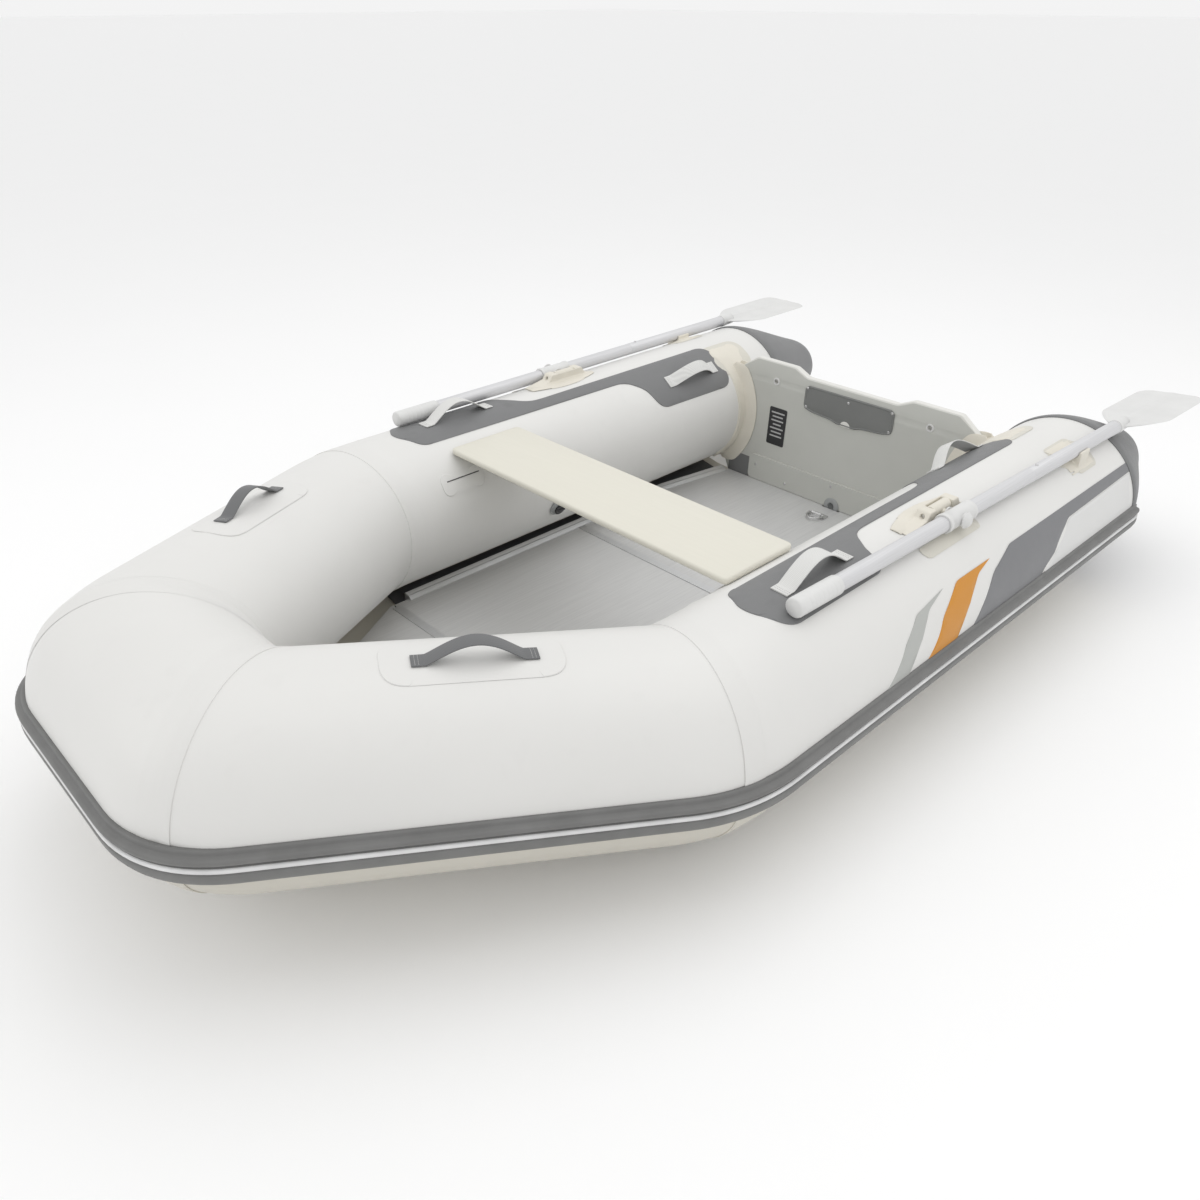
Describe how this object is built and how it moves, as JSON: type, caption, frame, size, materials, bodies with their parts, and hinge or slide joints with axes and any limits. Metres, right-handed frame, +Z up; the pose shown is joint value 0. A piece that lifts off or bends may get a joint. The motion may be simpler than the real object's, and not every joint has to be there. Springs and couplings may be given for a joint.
{
  "type": "inflatable dinghy",
  "caption": "Inflatable tender with angular bow tubes, tail cones, rigid transom, board floor, bench seat, rub rail, lift handles and stowed oars on pivoting oarlocks.",
  "frame": {"origin": "under the middle of the boat, on the plane that its bottom rests on", "axes": "+X forward along the boat, +Y to port, +Z up"},
  "size_m": [2.8179, 1.524, 0.5069],
  "materials": {
    "tube_fabric": "PVC-coated polyester fabric, warm white, satin with a very fine weave",
    "grey_fabric": "PVC-coated polyester fabric, mid grey, satin",
    "rail_rubber": "moulded PVC rubbing strake, mid grey, with a white stripe",
    "bottom_fabric": "PVC-coated polyester fabric, beige, heavier weave",
    "keel_fabric": "PVC-coated fabric",
    "transom_board": "marine plywood under grey moulded skin, satin",
    "pad_plastic": "moulded plastic pad with a fine pebble grain",
    "ivory_plastic": "moulded PVC fitting, ivory, satin",
    "dark_plastic": "moulded plastic, charcoal",
    "grey_plastic": "moulded plastic, light grey",
    "floor_aluminium": "anodised sheet, satin, with a light pressed tread",
    "profile_aluminium": "anodised extrusion, satin, ribbed",
    "stainless_steel": "stainless steel, polished",
    "seat_wood": "plywood under cream paint, satin",
    "white_webbing": "woven webbing, white",
    "grey_webbing": "woven webbing, dark grey",
    "shaft_aluminium": "clear anodised tube, satin",
    "white_plastic": "moulded plastic, white, satin"
  },
  "bodies": {
    "hull": {"side_tube_port": "tube_fabric", "side_tube_starboard": "tube_fabric", "quarter_tube_port": "tube_fabric", "quarter_tube_starboard": "tube_fabric", "bow_tube": "tube_fabric", "tail_cone_port": "grey_fabric", "tail_cone_starboard": "grey_fabric", "rub_rail": "rail_rubber", "hull_bottom": "bottom_fabric", "keel_tube": "keel_fabric", "transom_board": "transom_board", "transom_strip": "transom_board", "motor_pad_inner": "pad_plastic", "motor_pad_outer": "pad_plastic", "transom_holder_port": "ivory_plastic", "transom_holder_starboard": "ivory_plastic", "oarlock_base_port": "ivory_plastic", "oarlock_base_starboard": "ivory_plastic", "oar_holder_port": "ivory_plastic", "oar_holder_starboard": "ivory_plastic", "drain_fitting": "dark_plastic", "valve_port": "grey_plastic", "valve_starboard": "grey_plastic", "floor_board_aft": "floor_aluminium", "floor_board_middle": "floor_aluminium", "floor_board_front": "floor_aluminium", "floor_joiner_aft": "profile_aluminium", "floor_joiner_front": "profile_aluminium", "stringer_port": "profile_aluminium", "stringer_starboard": "profile_aluminium", "floor_ring_base": "stainless_steel", "oarlock_pin_port": "stainless_steel", "oarlock_pin_starboard": "stainless_steel", "handle_fore_port": "white_webbing", "handle_fore_starboard": "white_webbing", "handle_aft_port": "white_webbing", "handle_aft_starboard": "white_webbing", "handle_bow_port": "grey_webbing", "handle_bow_starboard": "grey_webbing"},
    "oar_port": {"oarlock_block_port": "ivory_plastic", "oarlock_cap_port": "ivory_plastic", "oar_collar_port": "white_plastic", "oar_shaft_fore_port": "shaft_aluminium", "oar_shaft_aft_port": "shaft_aluminium", "oar_grip_port": "white_plastic", "oar_blade_port": "white_plastic"},
    "oar_starboard": {"oarlock_block_starboard": "ivory_plastic", "oarlock_cap_starboard": "ivory_plastic", "oar_collar_starboard": "white_plastic", "oar_shaft_fore_starboard": "shaft_aluminium", "oar_shaft_aft_starboard": "shaft_aluminium", "oar_grip_starboard": "white_plastic", "oar_blade_starboard": "white_plastic"},
    "oar_button_port": {"oar_button_port": "stainless_steel"},
    "oar_button_starboard": {"oar_button_starboard": "stainless_steel"},
    "seat": {"seat_board": "seat_wood"},
    "valve_cap_port": {"valve_cap_port": "dark_plastic"},
    "valve_cap_starboard": {"valve_cap_starboard": "dark_plastic"},
    "drain_flap": {"drain_flap": "dark_plastic"},
    "floor_ring": {"floor_ring": "stainless_steel"}
  },
  "joints": [
    {"name": "oar_tilt_port", "type": "hinge", "parent": "hull", "child": "oar_port", "pos_m": [-0.235, 0.586, 0.447], "axis": [1, 0, 0], "range_deg": [0, 70]},
    {"name": "oar_button_press_port", "type": "slide", "parent": "oar_port", "child": "oar_button_port", "axis": [-0.0086, 0.0002, 1], "range_m": [-0.004, 0], "stiffness_N_per_m": 400},
    {"name": "valve_cap_turn_port", "type": "hinge", "parent": "hull", "child": "valve_cap_port", "pos_m": [-0.012, 0.3666, 0.1768], "axis": [0, -0.9455, -0.3256], "range_deg": [0, 90]},
    {"name": "oar_tilt_starboard", "type": "hinge", "parent": "hull", "child": "oar_starboard", "pos_m": [-0.235, -0.586, 0.447], "axis": [-1, 0, 0], "range_deg": [0, 70]},
    {"name": "oar_button_press_starboard", "type": "slide", "parent": "oar_starboard", "child": "oar_button_starboard", "axis": [-0.0086, -0.0002, 1], "range_m": [-0.004, 0], "stiffness_N_per_m": 400},
    {"name": "valve_cap_turn_starboard", "type": "hinge", "parent": "hull", "child": "valve_cap_starboard", "pos_m": [-0.012, -0.3666, 0.1768], "axis": [0, 0.9455, -0.3256], "range_deg": [0, 90]},
    {"name": "seat_slide", "type": "slide", "parent": "hull", "child": "seat", "axis": [1, 0, 0], "range_m": [-0.15, 0.15]},
    {"name": "drain_flap_hinge", "type": "hinge", "parent": "hull", "child": "drain_flap", "pos_m": [-0.8345, 0, 0.071], "axis": [0, 1, 0], "range_deg": [0, 75]},
    {"name": "floor_ring_hinge", "type": "hinge", "parent": "hull", "child": "floor_ring", "pos_m": [-0.72, 0, 0.048], "axis": [0, -1, 0], "range_deg": [0, 165]}
  ]
}
